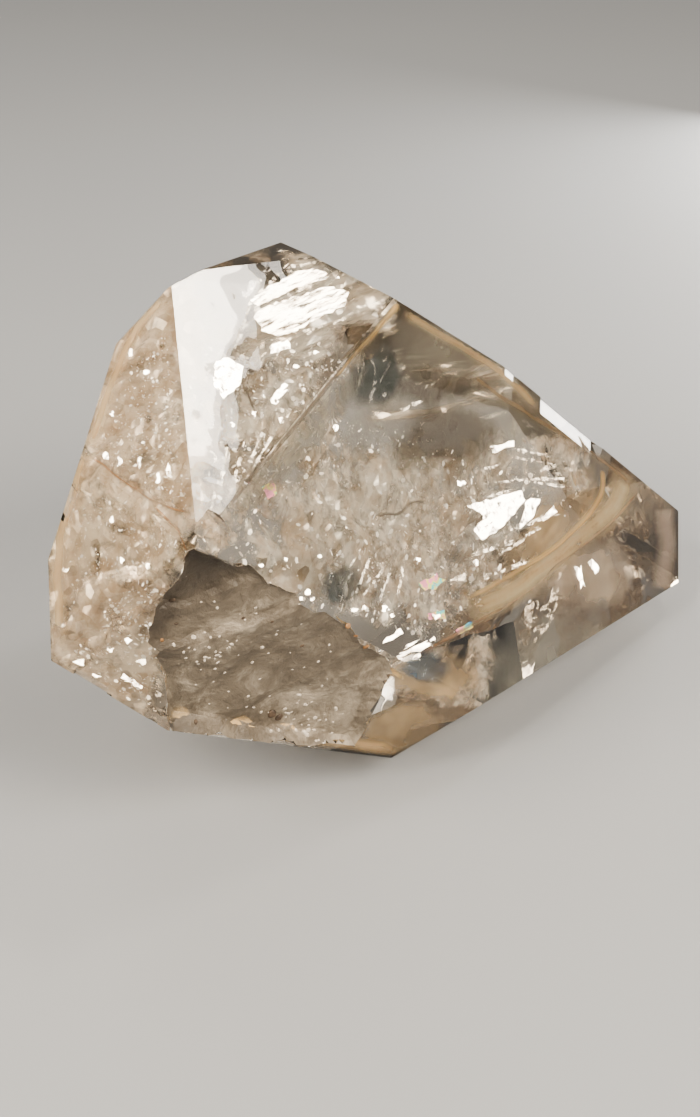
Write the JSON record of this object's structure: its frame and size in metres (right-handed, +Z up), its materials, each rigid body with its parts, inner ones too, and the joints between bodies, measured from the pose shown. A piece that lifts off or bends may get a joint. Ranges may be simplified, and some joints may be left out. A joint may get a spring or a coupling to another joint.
{
  "type": "herkimer diamond crystal",
  "caption": "Natural clear quartz crystal with a pointed tip at each end, flat faces, a frosted broken hollow in front and iron-stained rims, lying on its underside",
  "frame": {"origin": "on the ground, under the middle of the crystal's bounding box", "axes": "+Z up, -Y towards the front tip's side, +X to the right as seen from the front; metres"},
  "size_m": [0.0366, 0.0402, 0.0275],
  "materials": {
    "crystal": "clear, glossy natural faces with a matte broken hollow"
  },
  "bodies": {
    "root": {"crystal": "crystal"}
  },
  "joints": []
}
